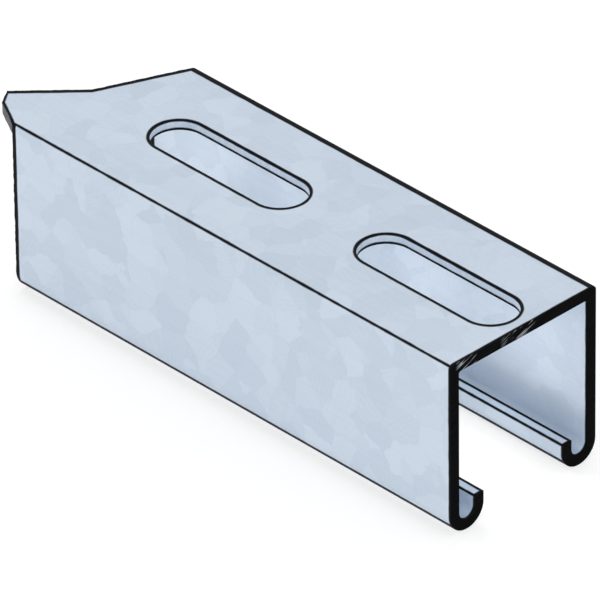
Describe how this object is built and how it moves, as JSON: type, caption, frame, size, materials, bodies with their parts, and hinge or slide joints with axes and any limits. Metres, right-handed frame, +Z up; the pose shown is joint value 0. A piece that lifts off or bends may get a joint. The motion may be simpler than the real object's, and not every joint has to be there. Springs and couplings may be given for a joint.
{
  "type": "perforated strut channel",
  "caption": "Short length of steel strut channel: square section with in-turned lips, long round-ended slots along the web, a square sawn end and a rough far end.",
  "frame": {"origin": "middle of the length and width, on the floor that the two lip curls rest on", "axes": "+X along the channel towards the sawn end, +Z up, out of the back of the slotted web"},
  "size_m": [0.136, 0.0412, 0.0413],
  "materials": {
    "galvanised_steel": "satin"
  },
  "bodies": {
    "root": {"strut_channel": "galvanised_steel"}
  },
  "joints": []
}
